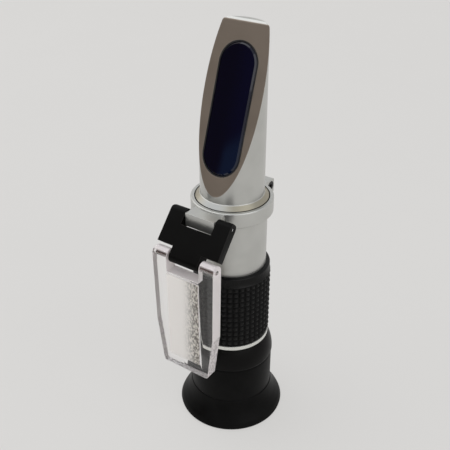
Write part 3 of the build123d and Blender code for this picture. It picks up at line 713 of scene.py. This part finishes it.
class REFRACTOMETER_OT_grip(bpy.types.Operator):
    """Builds the rubber grip: small rounded pyramids below a smooth band with a bead"""

    bl_idname = "refractometer.grip"
    bl_label = "Grip"

    def execute(self, context):
        knurl = context.scene.refractometer_grip
        low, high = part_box("grip_sleeve")
        outer = radius_of("grip_sleeve") - 0.04 * MM
        bore = radius_of("body_tube") + 0.01 * MM
        foot = low.z + GRIP_FOOT
        top = high.z - knurl.band
        mesh = self.sleeve(knurl, outer, bore, low.z, foot, top, high.z)
        colours = context.scene.refractometer_colours
        rubber = knurled_rubber("grip rubber", colours.rubber, outer - knurl.depth, knurl.depth, top)
        add_piece("grip_rubber_sleeve", mesh, "grip_sleeve", rubber)
        return {"FINISHED"}

    def sleeve(self, knurl, outer, bore, bottom, foot, top, high):
        """Grid of the knurled part between the outlines of the two plain ends."""
        fine = 8
        around = knurl.columns * fine
        along = knurl.rows * fine
        root = outer - knurl.depth
        work = bmesh.new()
        lines = [(bore, bottom), (root, bottom)]
        lines += [(None, foot + (top - foot) * k / along) for k in range(along + 1)]
        band = outer - 0.35 * MM
        lines += [
            (band + 0.22 * MM, top + 0.05 * MM), (band + 0.25 * MM, top + 0.18 * MM),
            (band + 0.15 * MM, top + 0.32 * MM), (band, top + 0.45 * MM),
            (band, high - 0.7 * MM), (band - 0.12 * MM, high - 0.35 * MM),
            (band - 0.4 * MM, high - 0.1 * MM), (band - 0.75 * MM, high), (bore, high),
        ]
        rows = []
        for radius, z in lines:
            row = []
            for step in range(around):
                reach = radius if radius is not None else root + knurl.depth * self.pyramid(
                    step / fine, knurl.rows * (z - foot) / (top - foot))
                angle = 2 * pi * step / around
                row.append(work.verts.new((reach * cos(angle), reach * sin(angle), z)))
            rows.append(row)
        for below, above in zip(rows, rows[1:] + rows[:1]):
            for step in range(around):
                after = (step + 1) % around
                work.faces.new((below[step], below[after], above[after], above[step]))
        bmesh.ops.recalc_face_normals(work, faces=work.faces)
        mesh = finished_mesh(work, "grip_rubber_sleeve")
        smooth(mesh, radians(50))
        return mesh

    def pyramid(self, column, row):
        """Height from 0 to 1 of the rounded pyramids at a place counted in columns and rows."""
        across = abs(column % 1.0 - 0.5) * 2
        upward = abs(row % 1.0 - 0.5) * 2
        slope = 1.0 - max(across, upward)
        return min(1.0, slope * 1.22) ** 0.9


class REFRACTOMETER_OT_eyecup(bpy.types.Operator):
    """Builds the flared rubber eyecup with its bowl, web and rounded rim"""

    bl_idname = "refractometer.eyecup"
    bl_label = "Eyecup"

    def execute(self, context):
        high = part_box("eyecup")[1]
        outline = self.outline(radius_of("eyecup"), high.z)
        mesh = finished_mesh(lathe(outline, steps=144), "eyecup_rubber")
        smooth(mesh, radians(40))
        colours = context.scene.refractometer_colours
        add_piece("eyecup_rubber", mesh, "eyecup", moulded_rubber("eyecup rubber", colours.rubber))
        return {"FINISHED"}

    def outline(self, rim, top):
        """Section of the cup from the rim up the outside and back down the inside."""
        neck = rim - 5.1 * MM
        foot = 12.0 * MM
        flare = curved([
            (rim - 0.03 * MM, 1.3 * MM), (rim - 0.75 * MM, 2.9 * MM), (rim - 1.75 * MM, 4.4 * MM),
            (rim - 3.2 * MM, 6.9 * MM), (rim - 4.2 * MM, 9.4 * MM), (neck + 0.32 * MM, foot - 0.5 * MM),
        ], 6)
        shoulder = [(neck + 0.3 * MM, foot - 0.2 * MM), (neck + 0.16 * MM, foot), (neck, foot + 0.08 * MM)]
        collar = [
            (neck, top - 1.2 * MM), (neck - 0.08 * MM, top - 0.55 * MM), (neck - 0.3 * MM, top - 0.15 * MM),
            (neck - 0.8 * MM, top),
        ]
        spigot = radius_of("focus_clip") + 0.99 * MM
        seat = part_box("focus_ring")[0].z
        hole = 12.0 * MM
        inside = [
            (spigot, top), (spigot, seat), (hole + 0.15 * MM, seat), (hole, seat - 0.2 * MM),
            (hole, seat - 1.15 * MM), (hole + 0.2 * MM, seat - 1.3 * MM), (hole + 0.8 * MM, seat - 1.3 * MM),
        ]
        bowl = curved([
            (hole + 1.1 * MM, seat - 1.6 * MM), (hole + 3.4 * MM, 5.2 * MM), (hole + 5.9 * MM, 3.0 * MM),
            (rim - 2.35 * MM, 0.35 * MM),
        ], 6)
        lip = [
            (rim - 2.1 * MM, 0.08 * MM), (rim - 1.8 * MM, 0.0), (rim - 1.2 * MM, 0.0),
            (rim - 0.62 * MM, 0.16 * MM), (rim - 0.2 * MM, 0.6 * MM),
        ]
        return flare + shoulder + collar + inside + bowl + lip


class REFRACTOMETER_OT_focusing(bpy.types.Operator):
    """Finishes the focus ring and the mechanism behind the eyecup"""

    bl_idname = "refractometer.focusing"
    bl_label = "Focusing"

    def execute(self, context):
        colours = context.scene.refractometer_colours
        coating = coated_ring("focus coating", colours.plastic)
        softened("focus_ring", "focus_ring_coated", coating, 0.12 * MM, segments=2)
        black = blackened_metal("blackened lens mount")
        dress("eyepiece_mount", turned_aluminium("turned bush", colours.aluminium, 0.34, 0.1 * MM))
        dress("lens_carrier", black)
        dress("lens_spacer", black)
        dress("lens_retainer", black)
        steel = polished_steel("spring steel", (0.42, 0.42, 0.43), 0.3)
        dress("focus_clip", steel)
        dress("guide_screw", brass("guide screw brass"))
        glass = lens_glass("coated lens", (0.97, 0.98, 1.0))
        dress("eye_lens", glass)
        dress("field_lens", glass)
        return {"FINISHED"}


class REFRACTOMETER_OT_inner_optics(bpy.types.Operator):
    """Finishes the objective, its compensation strip and the scale inside the tube"""

    bl_idname = "refractometer.inner_optics"
    bl_label = "Inner optics"

    def execute(self, context):
        rings = brass("inner ring brass")
        for node in ("objective_cell", "objective_retainer", "reticle_ring", "reticle_retainer"):
            dress(node, rings)
        dress("objective_lens", lens_glass("objective glass", (0.98, 0.98, 1.0)))
        dress("bimetal_strip", bimetal("bimetal"))
        dress("strip_rivets", polished_steel("rivet steel", (0.55, 0.55, 0.55), 0.32))
        dress("reticle", etched_glass("scale glass"))
        return {"FINISHED"}


class REFRACTOMETER_OT_link(bpy.types.Operator):
    """Rounds the black link's edges and finishes its pins"""

    bl_idname = "refractometer.link"
    bl_label = "Link and pins"

    def execute(self, context):
        colours = context.scene.refractometer_colours
        edges = context.scene.refractometer_edges
        plastic = moulded_plastic("link plastic", colours.plastic)
        softened("hinge_link", "link_moulding", plastic, edges.link)
        dress("link_pin", polished_steel("pin steel"))
        dress("plate_pin", polished_steel("dull pin steel", (0.22, 0.16, 0.15), 0.42))
        return {"FINISHED"}


class REFRACTOMETER_OT_daylight_plate(bpy.types.Operator):
    """Rounds the clear plate's edges and frosts its raised pad"""

    bl_idname = "refractometer.daylight_plate"
    bl_label = "Daylight plate"

    def execute(self, context):
        colours = context.scene.refractometer_colours
        edges = context.scene.refractometer_edges
        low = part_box("daylight_plate")[0]
        pin_low, pin_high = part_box("plate_pin")
        pin_level = (pin_low.z + pin_high.z) / 2
        acrylic = clear_acrylic(
            "clear acrylic", colours.acrylic, -low.y, PAD_HALF_WIDTH,
            pin_level - PAD_END, pin_level - PAD_START, pin_level - PLATE_WAIST)
        softened("daylight_plate", "clear_plate", acrylic, edges.plate)
        return {"FINISHED"}


class REFRACTOMETER_OT_stage(bpy.types.Operator):
    """Lays the floor, lights the studio and places the camera"""

    bl_idname = "refractometer.stage"
    bl_label = "Stage"

    def execute(self, context):
        scene = context.scene
        scene.view_settings.view_transform = "Standard"
        self.floor(scene)
        self.room(scene)
        self.flag(scene)
        light = scene.refractometer_light
        self.lamp(scene, "key lamp", power=light.key, size=2.4, place=(-0.85, -0.2, 1.35))
        self.lamp(scene, "fill lamp", power=light.fill, size=1.4, place=(1.2, -0.3, 0.9))
        self.camera(scene)
        return {"FINISHED"}

    def sheet(self, scene, name, radius, segments, material):
        """Round flat sheet of the studio."""
        work = bmesh.new()
        bmesh.ops.create_circle(work, cap_ends=True, radius=radius, segments=segments)
        mesh = finished_mesh(work, name)
        mesh.materials.append(material)
        made = bpy.data.objects.new(name, mesh)
        scene.collection.objects.link(made)
        return made

    def floor(self, scene):
        """Large round floor just under the rim of the eyecup."""
        paper = studio_floor("pale paper", scene.refractometer_colours.floor)
        floor = self.sheet(scene, "paper_floor", scene.refractometer_light.floor_size, 96, paper)
        floor.location.z = -0.02 * MM

    def flag(self, scene):
        """Brown flag low in front that shows in metal and glass alone."""
        size = 1.0
        cloth = soft_flag("brown cloth", (0.07, 0.055, 0.045), size)
        flag = self.sheet(scene, "brown_flag", size, 48, cloth)
        direction = Vector((-0.52, -0.84, 0.17))
        distance = 1.4
        middle = Vector((0, 0, 0.1))
        flag.location = direction * distance + middle
        flag.rotation_euler = flag.location.to_track_quat("Z", "Y").to_euler()
        flag.visible_camera = False
        flag.visible_diffuse = False
        flag.visible_shadow = False

    def room(self, scene):
        """Pale room, the same to the eye and in the metal."""
        room = Finish("studio room", "worlds", "ShaderNodeOutputWorld")
        overhead = room.dot(room.node("ShaderNodeTexCoord", output="Generated"), (0, 0, 1))
        horizon = rgba(scene.refractometer_colours.floor)
        tone = room.mix(overhead.ramp(0.1, 0.9), horizon, rgba((0.62, 0.64, 0.67)))
        low = scene.refractometer_light.room
        strength = room.seen() * (1.0 - low) + low
        shade = room.node("ShaderNodeBackground", {}, {"Color": tone, "Strength": strength})
        scene.world = room.done(shade)

    def lamp(self, scene, name, power, size, place):
        """Square softbox aimed at the middle of the instrument."""
        data = bpy.data.lights.new(name, "AREA")
        data.energy = power
        data.shape = "SQUARE"
        data.size = size
        lamp = bpy.data.objects.new(name, data)
        lamp.location = place
        aim = Vector((0, 0, 0.08)) - lamp.location
        lamp.rotation_euler = aim.to_track_quat("-Z", "Y").to_euler()
        scene.collection.objects.link(lamp)

    def camera(self, scene):
        """Camera at the photograph's height, tilt and lens."""
        spot = scene.refractometer_camera
        data = bpy.data.cameras.new("product camera")
        data.sensor_width = 36.0
        data.lens = spot.lens
        data.clip_start = 0.01
        camera = bpy.data.objects.new("product camera", data)
        right = spot.distance * sin(spot.azimuth)
        front = -spot.distance * cos(spot.azimuth)
        camera.location = (right, front, spot.height)
        heading = spot.azimuth - spot.pan
        look = Vector((-sin(heading) * cos(spot.tilt), cos(heading) * cos(spot.tilt), -sin(spot.tilt)))
        camera.rotation_euler = look.to_track_quat("-Z", "Y").to_euler()
        scene.collection.objects.link(camera)
        scene.camera = camera


class REFRACTOMETER_PT_looks(bpy.types.Panel):
    """Lists the steps that dress the instrument"""

    bl_label = "Refractometer"
    bl_idname = "REFRACTOMETER_PT_looks"
    bl_space_type = "VIEW_3D"
    bl_region_type = "UI"
    bl_category = "Refractometer"

    def draw(self, context):
        for group, kind in SETTINGS.items():
            box = self.layout.box()
            box.label(text=kind.__doc__.strip("."))
            for name in kind.__annotations__:
                box.prop(getattr(context.scene, group), name)
        for operator in OPERATORS:
            self.layout.operator(operator.bl_idname)


SETTINGS = {
    "refractometer_colours": FinishColours,
    "refractometer_edges": SoftEdges,
    "refractometer_grip": GripKnurl,
    "refractometer_light": StudioLight,
    "refractometer_camera": CameraPlace,
}

OPERATORS = (
    REFRACTOMETER_OT_metalwork,
    REFRACTOMETER_OT_prism,
    REFRACTOMETER_OT_grip,
    REFRACTOMETER_OT_eyecup,
    REFRACTOMETER_OT_focusing,
    REFRACTOMETER_OT_inner_optics,
    REFRACTOMETER_OT_link,
    REFRACTOMETER_OT_daylight_plate,
    REFRACTOMETER_OT_stage,
)


def register():
    for kind in (*SETTINGS.values(), *OPERATORS, REFRACTOMETER_PT_looks):
        bpy.utils.register_class(kind)
    for group, kind in SETTINGS.items():
        setattr(bpy.types.Scene, group, PointerProperty(type=kind))


def unregister():
    for group in SETTINGS:
        delattr(bpy.types.Scene, group)
    for kind in reversed((*SETTINGS.values(), *OPERATORS, REFRACTOMETER_PT_looks)):
        bpy.utils.unregister_class(kind)


def main():
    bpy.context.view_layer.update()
    register()
    bpy.ops.refractometer.metalwork()
    bpy.ops.refractometer.prism()
    bpy.ops.refractometer.grip()
    bpy.ops.refractometer.eyecup()
    bpy.ops.refractometer.focusing()
    bpy.ops.refractometer.inner_optics()
    bpy.ops.refractometer.link()
    bpy.ops.refractometer.daylight_plate()
    bpy.ops.refractometer.stage()


if __name__ == "__main__":
    main()
